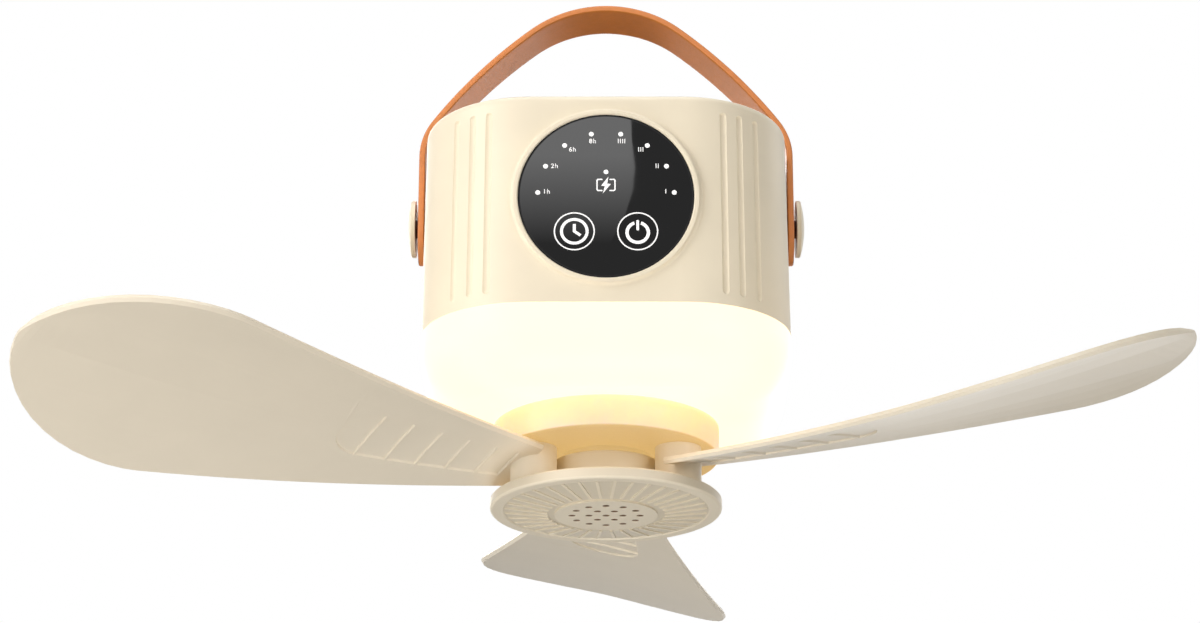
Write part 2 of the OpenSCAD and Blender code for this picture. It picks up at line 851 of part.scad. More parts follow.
// One coil of wire around each tooth
module stator_coils() {
    start = tube_r + seat_c + 2;
    len = stator_r - 1.6 - start;
    over = 1;
    color(COPPER) for (k = [0:tooth_n - 1])
        rotate([0, 0, 360 / tooth_n * k])
        difference() {
            translate([start, -coil_w / 2, stator_z - over]) cube([len, coil_w, stator_h + 2 * over]);
            translate([start - 1, -tooth_w / 2 - seat_c, stator_z - seat_c])
                cube([len + 2, tooth_w + 2 * seat_c, stator_h + 2 * seat_c]);
        }
}

module motor_shaft() {
    low = hub_post_z + 1;
    color(STEEL) translate([0, 0, low]) cylinder(h = seam_z - 0.3 - low, r = shaft_r);
}

// Turning bell of the motor, open at the top
module rotor_bell() {
    vent_r = 2;
    vent_ring = (bell_r + shaft_r) / 2;
    color(STEEL) difference() {
        translate([0, 0, bell_z]) cylinder(h = bell_top_z - bell_z, r = bell_r);
        translate([0, 0, bell_z + bell_floor])
            cylinder(h = bell_top_z - bell_z, r = bell_r - bell_wall);
        translate([0, 0, bell_z - 1]) cylinder(h = bell_floor + 2, r = shaft_r + seat_c);
        for (turn = [0:60:300])
            rotate([0, 0, turn])
            translate([vent_ring, 0, bell_z - 1])
            cylinder(h = bell_floor + 2, r = vent_r);
    }
}

module magnet_ring() {
    color(IRON)
        tube(bell_r - bell_wall - seat_c, bell_r - bell_wall - magnet_t, stator_z, bell_top_z);
}

// ---------------------------------------------------------------- hub

// Places its children at the screws between the two discs
module on_hub_screws() {
    for (k = [0:hub_screw_n - 1])
        rotate([0, 0, 360 / hub_screw_n * k]) translate([hub_screw_ring, 0, 0]) children();
}

// Places its children at the three hinges
module on_hinges() {
    for (turn = BLADE_ANGLES) rotate([0, 0, turn]) translate([hinge_r, 0, 0]) children();
}

// Upper disc: a ribbed pan with hinge bosses and a post that reaches into the drum
module hub_carrier() {
    soft = 0.8;
    floor_z = carrier_low_z + carrier_floor;
    color(CREAM) difference() {
        union() {
            rotate_extrude() {
                translate([0, carrier_low_z + soft]) square([carrier_r, carrier_floor - soft]);
                translate([0, carrier_low_z]) square([carrier_r - soft, soft]);
                translate([carrier_r - soft, carrier_low_z + soft]) mirror([0, 1]) quarter(soft);
                translate([carrier_r - carrier_wall, floor_z])
                    square([carrier_wall, carrier_z - floor_z]);
                translate([0, hub_post_z]) square([hub_post_r, carrier_low_z - hub_post_z]);
            }
            translate([0, 0, hub_post_z + 1])
                cylinder(h = carrier_z - 1 - hub_post_z - 1, r = hub_boss_r);
            for (turn = [30:60:330])
                rotate([0, 0, turn])
                translate([hub_post_in_r + 1, -carrier_rib_w / 2, floor_z - 1])
                cube([carrier_r - carrier_wall - hub_post_in_r, carrier_rib_w, carrier_rib_h + 1]);
            on_hinges() translate([0, 0, carrier_low_z + 1])
                cylinder(h = pin_top_z - carrier_low_z, r = pin_boss_r);
        }
        tube(hub_post_in_r, hub_boss_r, hub_post_z + hub_post_floor, floor_z + 1);
        translate([0, 0, hub_post_z + 1]) cylinder(h = carrier_z - hub_post_z, r = shaft_r + seat_c);
        on_hinges() translate([0, 0, carrier_low_z - 1])
            cylinder(h = pin_top_z - carrier_low_z + 1, r = pin_r + seat_c);
        on_hub_screws() translate([0, 0, hub_post_z - 1])
            cylinder(h = floor_z - hub_post_z + 2, r = hub_screw_r + seat_c);
    }
}

// Height of the lower disc's hollow face at a distance from the axis
function dish_z(r) = cap_low_z + dish_floor
    + (r - groove_out_r) / (rib_out_r - groove_out_r) * cap_dish;

// Section of the lower disc with its drum and the ring that the post rests on
module cap_section() {
    soft = 0.9;
    crest = 0.5;
    drum_in_r = drum_r - drum_wall;
    difference() {
        polygon([[0, cap_low_z], [groove_in_r, cap_low_z], [groove_in_r, cap_low_z + groove_up],
            [groove_out_r, cap_low_z + groove_up], [groove_out_r, dish_z(groove_out_r)],
            [rib_out_r, dish_z(rib_out_r)], [rib_out_r + dish_floor, cap_rim_z],
            [cap_r - soft, cap_rim_z], [cap_r - soft, cap_rim_z + soft],
            [cap_r, cap_rim_z + soft], [cap_r, cap_z - crest], [cap_r - crest, cap_z],
            [0, cap_z]]);
        translate([0, cap_low_z + cap_floor_t]) square([seat_ring_r, cap_t + cap_dish]);
    }
    translate([cap_r - soft, cap_rim_z + soft]) mirror([0, 1]) quarter(soft);
    translate([drum_in_r, cap_z]) square([drum_wall, drum_z - crest - cap_z]);
    translate([drum_in_r, drum_z - crest]) square([drum_wall - crest, crest]);
    translate([drum_r - crest, drum_z - crest]) quarter(crest);
    translate([seat_ring_r, cap_z]) square([drum_in_r - seat_ring_r, hub_post_z - cap_z]);
}

// Fine radial rib on the lower disc's hollow face
module cap_rib() {
    start = groove_out_r + 0.3;
    end = rib_out_r - 0.3;
    crest = dish_floor - 0.1;
    rotate([90, 0, 0]) translate([0, 0, -cap_rib_w / 2]) linear_extrude(cap_rib_w)
        polygon([[start, dish_z(start) + 0.3], [start, dish_z(start) - crest],
            [end, dish_z(end) - crest], [end, dish_z(end) + 0.3]]);
}

// Countersunk hole in the lower disc's middle
module grille_hole() {
    flare = 0.4;
    translate([0, 0, cap_low_z - 1]) cylinder(h = cap_floor_t + 2, r = grille_hole_r);
    translate([0, 0, cap_low_z - flare])
        cylinder(h = 2 * flare, r1 = grille_hole_r + 2 * flare, r2 = grille_hole_r);
}

// Lower disc with its ribbed dish, grille and drum
module hub_cap() {
    color(CREAM) difference() {
        union() {
            rotate_extrude() cap_section();
            for (k = [0:cap_rib_n - 1]) rotate([0, 0, 360 / cap_rib_n * (k + 0.5)]) cap_rib();
        }
        on_hinges() translate([0, 0, cap_z - pin_socket])
            cylinder(h = pin_socket + 1, r = pin_r + seat_c);
        on_hub_screws() translate([0, 0, hub_post_z - hub_screw_bite])
            cylinder(h = hub_screw_bite + 1, r = hub_screw_r + seat_c);
        grille_hole();
        for (k = [0:5]) rotate([0, 0, 60 * k]) translate([grille_r / 2, 0, 0]) grille_hole();
        for (k = [0:11]) rotate([0, 0, 30 * k]) translate([grille_r, 0, 0]) grille_hole();
    }
}

// Screws that clamp the lower disc to the upper disc's post
module hub_screws() {
    head_z = carrier_low_z + carrier_floor;
    low = hub_post_z - hub_screw_bite;
    color(STEEL) on_hub_screws() {
        translate([0, 0, low]) cylinder(h = head_z - low, r = hub_screw_r);
        translate([0, 0, head_z]) cylinder(h = hub_head_h, r = hub_head_r);
    }
}

// Steel pins that the blades fold on
module hinge_pins() {
    low = cap_z - pin_socket;
    color(STEEL) on_hinges() translate([0, 0, low]) cylinder(h = pin_top_z - low, r = pin_r);
}

// ---------------------------------------------------------------- blades

// A blade is described by distance r from the rotor's axis and by s across it,
// with s positive towards the leading, higher edge.

// Half chord at a distance r, leading (side 1) or trailing (side -1)
function half_chord(r, side) =
    let (t = (r - root_r) / (tip_start - root_r),
        q = min(1, max(0, (r - tip_start) / tip_len)),
        root = side > 0 ? lead_root : trail_root,
        wide = side > 0 ? lead_wide : trail_wide,
        sag = side > 0 ? 0 : trail_sag * 4 * t * (1 - t))
    (root + (wide - root) * t - sag) * pow(1 - pow(q, tip_power), 1 / tip_power);

// Height of the plain underside: lifted outwards, pitched, twisted and cambered
function under_z(r, s) =
    blade_z + tip_lift * pow((r - lift_start) / (tip_r - lift_start), 2)
    + s * tan(blade_pitch - end_twist * pow((r - twist_mid) / (tip_r - twist_mid), 2))
    - s * s / (2 * camber_r);

// Half width of the grip hollow, with a round far end
function grip_half(r, side) =
    let (over = (r - grip_end + grip_round) / grip_round,
        pinch = over <= 0 || over > 1 ? 1 : sqrt(1 - over * over),
        wide = side > 0 ? grip_lead + grip_lead_grow * (r - grip_start)
            : grip_trail + grip_trail_grow * (r - grip_start),
        room = 0.75 * half_chord(r, side))
    max(0.05 * room, min(wide * pinch, room));

// Places across one half of the blade, from the grip hollow's inside to the edge
function half_columns(r, side) =
    let (edge = half_chord(r, side), bevel = min(edge_bevel, 0.4 * edge),
        grip = grip_half(r, side), step = min(grip_step, grip) / 2,
        start = grip + step, end = edge - bevel)
    [grip - step, start, start + (end - start) / 3, start + (end - start) * 2 / 3, end, edge];

// Places across the whole blade, from the trailing to the leading edge
function columns(r) =
    let (trail = half_columns(r, -1), lead = half_columns(r, 1))
    concat([for (k = [5:-1:0]) -trail[k]], [0], lead);

COLUMN_N = 13;
HOLLOW_FROM = 5;
HOLLOW_TO = 7;
MID_N = 5;
TIP_N = 14;

// One section of the blade: underside from trailing to leading edge, then back over
// the top. hollow is 1 in the grip hollow and 0 elsewhere.
function section(r, hollow) =
    let (s = columns(r),
        thick = blade_t * (0.4 + 0.6 * min(1, (tip_r - r) / blade_t)),
        rise = (blade_t - thick) / 2,
        skew = tip_skew * min(1, max(0, (r - tip_start) / tip_len)))
    concat(
        [for (k = [0:COLUMN_N - 1])
            let (edge = k == 0 || k == COLUMN_N - 1,
                deep = hollow == 1 && k >= HOLLOW_FROM && k <= HOLLOW_TO)
            [r - skew * s[k], s[k],
                under_z(r, s[k]) + rise + (edge ? thick / 2 : 0) + (deep ? grip_depth : 0)]],
        [for (k = [COLUMN_N - 2:-1:1])
            [r - skew * s[k], s[k], under_z(r, s[k]) + rise + thick]]);

// Distances of the sections from the axis, each with its hollow flag
function stations() =
    let (last = grip_end - grip_round + 0.2, half = grip_rib_w / 2, ramp = grip_step / 2)
    concat(
        [[root_r, 0], [grip_start, 0], [grip_start + grip_step, 1]],
        [for (k = [grip_rib_n - 1:-1:0], side = [-1, 1], part = [0, 1])
            let (off = side < 0 ? (part == 0 ? -half - ramp : -half + ramp)
                : (part == 0 ? half - ramp : half + ramp))
            [last - k * grip_rib_pitch + off, side < 0 ? 1 - part : part]],
        [for (f = [0.25, 0.5, 0.7, 0.85, 0.95]) [grip_end - grip_round * (1 - f), 1]],
        [[grip_end, 0], [grip_end + 2, 0]],
        [for (k = [1:MID_N]) [grip_end + (tip_start - grip_end) * k / MID_N, 0]],
        [for (k = [1:TIP_N])
            [tip_start + tip_len * min(0.9995, pow(sin(90 * k / TIP_N), 2 / tip_power)), 0]]);

// Thin twisted blade as one closed skin
module blade_skin() {
    rows = stations();
    ring = 2 * COLUMN_N - 2;
    points = [for (row = rows) each section(row[0], row[1])];
    last = (len(rows) - 1) * ring;
    sides = [for (i = [0:len(rows) - 2], j = [0:ring - 1])
        let (a = i * ring + j, b = i * ring + (j + 1) % ring)
        each [[a, a + ring, b + ring], [a, b + ring, b]]];
    caps = [[for (j = [0:ring - 1]) j], [for (j = [ring - 1:-1:0]) last + j]];
    polyhedron(points, concat(sides, caps));
}

// Blade with its knuckle, pointing along an angle about the rotor's axis
module blade(angle) {
    knuckle_z = cap_z + pass_c;
    knuckle_h = blade_gap - 2 * pass_c;
    color(CREAM) rotate([0, 0, angle]) difference() {
        union() {
            blade_skin();
            translate([hinge_r, 0, knuckle_z]) cylinder(h = knuckle_h, r = knuckle_r);
        }
        translate([hinge_r, 0, knuckle_z - 1]) cylinder(h = knuckle_h + 2, r = pin_r + run_c);
    }
}

module blade_left() {
    blade(ANGLE_LEFT);
}

module blade_right() {
    blade(ANGLE_RIGHT);
}

module blade_back() {
    blade(ANGLE_BACK);
}

// ---------------------------------------------------------------- the parts

handle_strap();
housing_shell();
touch_panel();
control_board();
indicator_leds();
touch_pads();
strap_knob_left();
strap_knob_right();
strap_washers();
strap_collars();
strap_nuts();
battery_cells();
battery_holder();
main_board();
usb_socket();
mid_frame();
body_screws();
led_board();
lamp_leds();
lamp_cover();
motor_base();
motor_bearings();
stator_core();
stator_coils();
motor_shaft();
rotor_bell();
magnet_ring();
hub_carrier();
hub_cap();
hub_screws();
hinge_pins();
blade_left();
blade_right();
blade_back();
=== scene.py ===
"""Looks of the hanging camping fan: finishes of its parts, leather strap, panel marks and stage."""

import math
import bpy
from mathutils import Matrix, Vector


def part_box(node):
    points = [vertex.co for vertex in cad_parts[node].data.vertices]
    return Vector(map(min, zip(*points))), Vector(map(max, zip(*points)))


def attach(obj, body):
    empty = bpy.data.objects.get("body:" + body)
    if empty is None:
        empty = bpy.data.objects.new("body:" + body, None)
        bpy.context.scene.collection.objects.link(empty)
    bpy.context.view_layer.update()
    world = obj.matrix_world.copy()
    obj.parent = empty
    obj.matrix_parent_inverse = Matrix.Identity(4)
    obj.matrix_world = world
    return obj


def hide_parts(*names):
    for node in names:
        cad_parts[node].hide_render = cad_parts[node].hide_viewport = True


bl_info = {
    "name": "Hanging camping fan",
    "version": (1, 0, 0),
    "blender": (4, 5, 0),
    "location": "3D View > Sidebar > Camping fan",
    "description": "Dresses the packed model of a hanging camping fan",
    "category": "Object",
}

import bmesh
import bpy
from mathutils import Matrix, Vector, noise

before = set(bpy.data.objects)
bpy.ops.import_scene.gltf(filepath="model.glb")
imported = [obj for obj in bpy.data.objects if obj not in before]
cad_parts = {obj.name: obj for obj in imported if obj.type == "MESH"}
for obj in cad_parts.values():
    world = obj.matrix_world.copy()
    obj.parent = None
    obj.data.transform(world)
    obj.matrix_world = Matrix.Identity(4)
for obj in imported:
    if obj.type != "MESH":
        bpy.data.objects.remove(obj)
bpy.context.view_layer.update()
MM = 0.001


# ------------------------------------------------------------------ places on the model

# The front wall leans in from the seam to the top, and the panel is centred on it.
SHELL_LOW, SHELL_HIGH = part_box("housing_shell")
SEAM_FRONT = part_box("lamp_cover")[0].y
WALL_DRAFT = 0.7 * MM
WALL_SLOPE = WALL_DRAFT / (SHELL_HIGH.z - SHELL_LOW.z)
PANEL_RISE = 34.4 * MM
PANEL_CENTRE = Vector((0, SEAM_FRONT + WALL_SLOPE * PANEL_RISE, SHELL_LOW.z + PANEL_RISE))
PANEL_LEAN = math.atan(WALL_SLOPE)

# The panel's ground rim, as distances from its centre.
PANEL_RIM_START = 26.3 * MM
PANEL_RIM_END = 26.5 * MM

# Underside of the upper disc. Its post reaches lower.
CARRIER_THICKNESS = 9.9 * MM
CARRIER_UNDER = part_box("hub_carrier")[1].z - CARRIER_THICKNESS

# Underside of the lower disc, from the axis outwards: grille, round groove, ribbed dish.
CAP_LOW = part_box("hub_cap")[0].z
GRILLE_REACH = 14 * MM
HOLE_LIP = 0.4 * MM
GROOVE_INNER = 16.2 * MM
GROOVE_OUTER = 18.3 * MM
DISH_EDGE = 32.1 * MM
DISH_FLOOR = 0.5 * MM
DISH_SLOPE = 1.4 * MM / (DISH_EDGE - GROOVE_OUTER)


# ------------------------------------------------------------------ settings

def srgb(red, green, blue):
    """Linear colour of an 8-bit screen colour."""
    def linear(value):
        part = value / 255
        return part / 12.92 if part <= 0.04045 else ((part + 0.055) / 1.055) ** 2.4
    return (linear(red), linear(green), linear(blue))


def millimetres(name, description, default):
    """A length that is kept in metres and shown in millimetres."""
    return bpy.props.FloatProperty(name=name, description=description, default=default * MM,
                                   min=0, precision=5, unit="LENGTH")


def slope(name, description, default):
    """A slope that is kept in radians and shown in degrees."""
    return bpy.props.FloatProperty(name=name, description=description,
                                   default=math.radians(default), min=0, unit="ROTATION")


def colour(name, description, default):
    """A colour, given as it shows on a screen and kept linear."""
    return bpy.props.FloatVectorProperty(name=name, description=description,
                                         default=srgb(*default), size=3, min=0, max=1,
                                         subtype="COLOR")


class FanSizes(bpy.types.PropertyGroup):
    """Sizes of the pieces that are made here."""
    strap_width: millimetres("Strap width", "Width of the leather strap", 18)
    strap_thickness: millimetres("Strap thickness", "Thickness of the leather", 2)
    strap_side: millimetres("Strap side", "Distance of the strap's outer face from the middle",
                            60.68)
    arch_radius: millimetres("Arch radius", "Outer radius of the arch at its top", 40)
    arch_slope: slope("Arch slope", "Slope where the arch runs into the shoulder", 38)
    bend_slope: slope("Bend slope", "Slope where the shoulder runs into the lower bend", 54)
    bend_radius: millimetres("Bend radius", "Outer radius of the lower bends", 21)
    pivot_drop: millimetres("Pivot drop", "Depth of the strap's screws below the hook", 74.205)
    strap_tail: millimetres("Strap tail", "Length of the strap below its screws", 12.2)
    edge_round: millimetres("Edge rounding", "Rounding of the leather's cut edges", 0.45)
    mark_thickness: millimetres("Mark thickness", "Thickness of the printed marks", 0.06)


class FanColours(bpy.types.PropertyGroup):
    """Colours of the finishes."""
    shell: colour("Housing", "Moulded housing and knobs", (250, 238, 213))
    hub: colour("Hub", "Upper disc of the hub", (246, 231, 204))
    cap: colour("Lower disc", "Lower disc of the hub", (250, 238, 214))
    # Painted shade: a dark colour for the grille holes' walls, in place of the shade inside them.
    painted_hole_shade: colour("Grille holes", "Shaded walls of the grille's holes", (122, 90, 56))
    blade: colour("Blades", "Moulded blades", (242, 231, 210))
    leather: colour("Leather", "Grain side of the strap", (214, 135, 84))
    flesh: colour("Flesh side", "Inner side of the strap", (200, 124, 58))
    edge: colour("Strap edge", "Cut edge of the strap", (234, 150, 92))
    glass: colour("Panel", "Glossy control panel", (9, 9, 10))
    mark: colour("Marks", "Printed marks on the panel", (250, 250, 250))
    glow: colour("Lamp", "Light of the opal lamp", (255, 222, 186))
    # Painted glow: colour of the light that the upper disc's underside gives off, in place of lamp
    # light coming through it.
    underside_glow_paint: colour("Warm glow", "Lamp light that comes through the upper disc", (255, 210, 132))


def sizes():
    return bpy.context.scene.fan_sizes


def colours():
    return bpy.context.scene.fan_colours


# ------------------------------------------------------------------ node materials

class Finish:
    """A node material around one Principled shader, patterned on Object coordinates."""

    def __init__(self, name, base, **settings):
        self.material = bpy.data.materials.new(name)
        self.material.use_nodes = True
        self.material.diffuse_color = (*base[:3], 1)
        self.tree = self.material.node_tree
        self.shader = self.tree.nodes["Principled BSDF"]
        self.shader.inputs["Base Color"].default_value = (*base[:3], 1)
        for socket, value in settings.items():
            self.shader.inputs[socket.replace("_", " ")].default_value = value
        self.place = self.add("ShaderNodeTexCoord").outputs["Object"]

    @classmethod
    def on(cls, material):
        """Takes up a finish again to add to it."""
        finish = cls.__new__(cls)
        finish.material = material
        finish.tree = material.node_tree
        finish.shader = finish.tree.nodes["Principled BSDF"]
        finish.place = finish.tree.nodes["Texture Coordinate"].outputs["Object"]
        return finish

    def add(self, kind, **values):
        node = self.tree.nodes.new(kind)
        for key, value in values.items():
            setattr(node, key, value)
        return node

    def join(self, source, target):
        self.tree.links.new(source, target)

    def set(self, socket, source):
        self.join(source, self.shader.inputs[socket])

    def noise(self, per_metre, detail=3, stretch=(1, 1, 1)):
        """Even noise with about so many spots to the metre."""
        node = self.add("ShaderNodeTexNoise")
        node.inputs["Scale"].default_value = per_metre
        node.inputs["Detail"].default_value = detail
        place = self.place
        if stretch != (1, 1, 1):
            mapping = self.add("ShaderNodeMapping")
            mapping.inputs["Scale"].default_value = stretch
            self.join(self.place, mapping.inputs["Vector"])
            place = mapping.outputs["Vector"]
        self.join(place, node.inputs["Vector"])
        return node.outputs["Fac"]

    def cells(self, per_metre, feature="F1"):
        """Distance to the nearest of scattered cells."""
        node = self.add("ShaderNodeTexVoronoi", feature=feature)
        node.inputs["Scale"].default_value = per_metre
        self.join(self.place, node.inputs["Vector"])
        return node.outputs["Distance"]

    def height(self):
        """Height of a point, in metres."""
        node = self.add("ShaderNodeSeparateXYZ")
        self.join(self.place, node.inputs[0])
        return node.outputs["Z"]

    def distance(self, centre=(0, 0, 0), across=(1, 1, 0)):
        """Distance of a point from an axis through a centre, in metres."""
        from_centre = self.add("ShaderNodeVectorMath", operation="SUBTRACT")
        from_centre.inputs[1].default_value = centre
        self.join(self.place, from_centre.inputs[0])
        flat = self.add("ShaderNodeVectorMath", operation="MULTIPLY")
        flat.inputs[1].default_value = across
        self.join(from_centre.outputs[0], flat.inputs[0])
        length = self.add("ShaderNodeVectorMath", operation="LENGTH")
        self.join(flat.outputs[0], length.inputs[0])
        return length.outputs["Value"]

    def combine(self, operation, first, second):
        """Sum, product or the like of two values."""
        node = self.add("ShaderNodeMath", operation=operation)
        for socket, value in zip(node.inputs, (first, second)):
            if isinstance(value, bpy.types.NodeSocket):
                self.join(value, socket)
            else:
                socket.default_value = value
        return node.outputs[0]

    def spread(self, value, low, high, start=0.3, end=0.7):
        """Value from start to end, taken to the range from low to high."""
        node = self.add("ShaderNodeMapRange")
        for socket, number in zip(("From Min", "From Max", "To Min", "To Max"),
                                  (start, end, low, high)):
            node.inputs[socket].default_value = number
        self.join(value, node.inputs["Value"])
        return node.outputs["Result"]

    def mix(self, share, first, second):
        """Colour between first and second."""
        node = self.add("ShaderNodeMix", data_type="RGBA")
        for socket, value in ((0, share), (6, first), (7, second)):
            if isinstance(value, bpy.types.NodeSocket):
                self.join(value, node.inputs[socket])
            else:
                node.inputs[socket].default_value = (*value[:3], 1)
        return node.outputs[2]

    def shade(self, value, first, second, start=0.3, end=0.7):
        """Base colour that runs from first to second with a value."""
        self.set("Base Color", self.mix(self.spread(value, 0, 1, start, end), first, second))

    def lay(self, share, over):
        """Lays a colour over the base colour by a share."""
        under = self.shader.inputs["Base Color"].links[0].from_socket
        self.set("Base Color", self.mix(share, under, over))

    def relief(self, height, depth, strength, under=None):
        """Bump of so many millimetres, on top of another one if it is given."""
        node = self.add("ShaderNodeBump")
        node.inputs["Strength"].default_value = strength
        node.inputs["Distance"].default_value = depth * MM
        self.join(height, node.inputs["Height"])
        if under is not None:
            self.join(under, node.inputs["Normal"])
        self.set("Normal", node.outputs["Normal"])
        return node.outputs["Normal"]


def tint(base, factor):
    """Colour made darker or lighter, up to full."""
    return tuple(min(1.0, part * factor) for part in base[:3])


# Reach of red, green and blue light in cream plastic, as shares of a depth.
CREAM_REACH = (1, 0.72, 0.3)


def moulded(name, base, roughness=0.42, contrast=0.03, grain=0.012, depth=0.0):
    """Satin moulded plastic: faint flow clouds and a fine spark-eroded grain.
    Thin walls let light through to a depth in millimetres."""
    finish = Finish(name, base, Roughness=roughness, IOR=1.49)
    if depth:
        finish.shader.inputs["Subsurface Weight"].default_value = 1.0
        finish.shader.inputs["Subsurface Radius"].default_value = CREAM_REACH
        finish.shader.inputs["Subsurface Scale"].default_value = depth * MM
    clouds = finish.noise(per_metre=55, detail=2)
    fine = finish.noise(per_metre=2600, detail=2)
    finish.shade(clouds, tint(base, 1 - contrast), tint(base, 1 + contrast / 2))
    finish.set("Roughness", finish.spread(fine, roughness - 0.05, roughness + 0.06))
    finish.relief(fine, grain, strength=0.6)
    return finish.material


def lower_disc(base, painted_hole_shade, painted_dish_shade=0.86):
    """Moulded disc with painted shade: its dish is painted darker than its ribs, for the shade
    between them, and its grille holes are painted dark behind their countersunk lips."""
    material = moulded("hub_cream", base, contrast=0.015)
    finish = Finish.on(material)
    radius, height = finish.distance(), finish.height()
    dish = finish.combine("ADD", finish.combine("MULTIPLY", radius, DISH_SLOPE),
                          CAP_LOW + DISH_FLOOR - GROOVE_OUTER * DISH_SLOPE)
    below_dish = finish.combine("SUBTRACT", dish, height)
    sunk = finish.spread(below_dish, 1, 0, 0.1 * MM, 0.3 * MM)
    outer = finish.spread(radius, 0, 1, GROOVE_INNER - 0.1 * MM, GROOVE_INNER + 0.1 * MM)
    # Painted shade: the dish face outside the groove's inner edge is darkened, but not the ribs'
    # tops.
    finish.lay(finish.combine("MULTIPLY", sunk, outer), tint(base, painted_dish_shade))
    inner = finish.spread(radius, 1, 0, GRILLE_REACH - 0.2 * MM, GRILLE_REACH)
    deep = finish.spread(height, 0, 1, CAP_LOW + 0.1 * HOLE_LIP, CAP_LOW + 0.6 * HOLE_LIP)
    # Painted shade: the hole walls inside the grille, above the lip, take the dark hole colour.
    finish.lay(finish.combine("MULTIPLY", inner, deep), painted_hole_shade)
    return material


def glow_painted_disc(base, glow, painted_shade_factor=0.2, painted_glow_strength=0.55):
    """Thin moulded disc that the lamp above it shines through. Its underside has a painted glow,
    an emission standing in for that light, which lights the posts and the drum below it."""
    material = moulded("hub_painted_glow", base, depth=6)
    finish = Finish.on(material)
    under = finish.spread(finish.height(), 1, 0, CARRIER_UNDER + 0.2 * MM,
                          CARRIER_UNDER + 0.6 * MM)
    # Painted shade: the underside's base colour is darkened.
    finish.lay(under, tint(base, painted_shade_factor))
    # Painted glow: the underside gives off warm light though it is no lamp, standing in for the
    # lamp light that comes through the disc.
    finish.shader.inputs["Emission Color"].default_value = (*glow, 1)
    finish.set("Emission Strength", finish.combine("MULTIPLY", under, painted_glow_strength))
    return material


def gloss_black(base, rim_roughness=0.6):
    """Hard glossy panel with the faintest orange-peel and a matt ground rim."""
    finish = Finish("panel_gloss", base, Roughness=0.02, IOR=1.49, Specular_IOR_Level=0.24)
    wave = finish.noise(per_metre=90, detail=2)
    rim = finish.spread(finish.distance(PANEL_CENTRE, across=(1, 0, 1)), 0, 1,
                        PANEL_RIM_START, PANEL_RIM_END)
    finish.set("Roughness", finish.combine("MAXIMUM", finish.spread(wave, 0.01, 0.025),
                                           finish.combine("MULTIPLY", rim, rim_roughness)))
    finish.shade(wave, tint(base, 0.9), tint(base, 1.1))
    return finish.material


def leather(name, base, pores, roughness, contrast, gloss=0.5, coarse=1.0):
    """Vegetable-tanned leather with so many pores to the metre and uneven dye."""
    finish = Finish(name, base, Roughness=roughness, IOR=1.45, Specular_IOR_Level=gloss)
    dye = finish.noise(per_metre=70, detail=4)
    mottle = finish.noise(per_metre=420)
    grain = finish.cells(pores)
    fibre = finish.noise(per_metre=1900, detail=4)
    finish.shade(dye, tint(base, 1 - contrast), tint(base, 1 + contrast))
    finish.lay(finish.spread(mottle, 0, 0.35), tint(base, 0.8))
    finish.set("Roughness", finish.spread(fibre, roughness - 0.08, roughness + 0.1))
    pitted = finish.relief(grain, 0.09 * coarse, strength=0.55)
    finish.relief(fibre, 0.05 * coarse, strength=0.5, under=pitted)
    return finish.material


def glowing_opal(base):
    """Opal diffuser lit from within."""
    finish = Finish("lamp_opal", (0.16, 0.15, 0.1), Roughness=0.4, IOR=1.49,
                    Specular_IOR_Level=0.2, Emission_Strength=1.6)
    clouds = finish.noise(per_metre=30, detail=2)
    fine = finish.noise(per_metre=2400, detail=2)
    finish.set("Emission Color", finish.mix(finish.spread(clouds, 0, 1), tint(base, 0.97), base))
    finish.relief(fine, 0.01, strength=0.5)
    return finish.material


def metal(name, base, roughness, stretch=(1, 1, 12)):
    """Turned or stamped metal with fine marks."""
    finish = Finish(name, base, Metallic=1.0, Roughness=roughness)
    marks = finish.noise(per_metre=900, stretch=stretch)
    finish.shade(marks, tint(base, 0.9), base)
    finish.set("Roughness", finish.spread(marks, roughness - 0.08, roughness + 0.1))
    finish.relief(marks, 0.01, strength=0.4)
    return finish.material


def rubber(name, base):
    """Matt rubber or foam."""
    finish = Finish(name, base, Roughness=0.8, IOR=1.5)
    fine = finish.noise(per_metre=1500, detail=4)
    finish.shade(fine, tint(base, 0.8), tint(base, 1.25))
    finish.relief(fine, 0.04, strength=0.6)
    return finish.material


def printed_board(name, base):
    """Solder mask with tracks below it."""
    finish = Finish(name, base, Roughness=0.35, IOR=1.5)
    tracks = finish.cells(260, "DISTANCE_TO_EDGE")
    finish.shade(tracks, tint(base, 1.5), base, start=0.02, end=0.06)
    finish.relief(tracks, 0.03, strength=0.5)
    return finish.material


def luminous(name, base, glow, per_metre, darker, **settings):
    """Even colour with a fine speckle that also gives off a little light."""
    finish = Finish(name, base, Emission_Strength=glow, **settings)
    speckle = finish.noise(per_metre, detail=2)
    body = finish.mix(finish.spread(speckle, 0, 1), tint(base, darker), base)
    finish.set("Base Color", body)
    finish.set("Emission Color", body)
    return finish.material


def resin(name, base, glow):
    """Cast resin of a light chip."""
    return luminous(name, base, glow, per_metre=1800, darker=0.9, Roughness=0.25, IOR=1.52)


def ink(base):
    """Printed white that the lights behind it show through."""
    return luminous("panel_ink", base, 0.35, per_metre=3000, darker=0.94, Roughness=0.5,
                    IOR=1.45)


# ------------------------------------------------------------------ shared modelling

def dress(material, *nodes):
    """Gives CAD nodes their finish."""
    for name in nodes:
        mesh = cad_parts[name].data
        mesh.materials.clear()
        mesh.materials.append(material)


def new_object(name, bm, *materials):
    """Turns a finished bmesh into an object of the scene."""
    mesh = bpy.data.meshes.new(name)
    bm.to_mesh(mesh)
    bm.free()
    for material in materials:
        mesh.materials.append(material)
    made = bpy.data.objects.new(name, mesh)
    bpy.context.scene.collection.objects.link(made)
    return made


def add_piece(name, bm, body, slot, *materials):
    """Turns a finished bmesh into a piece that rides on a body."""
    piece = new_object(name, bm, *materials)
    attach(piece, body)
    return piece


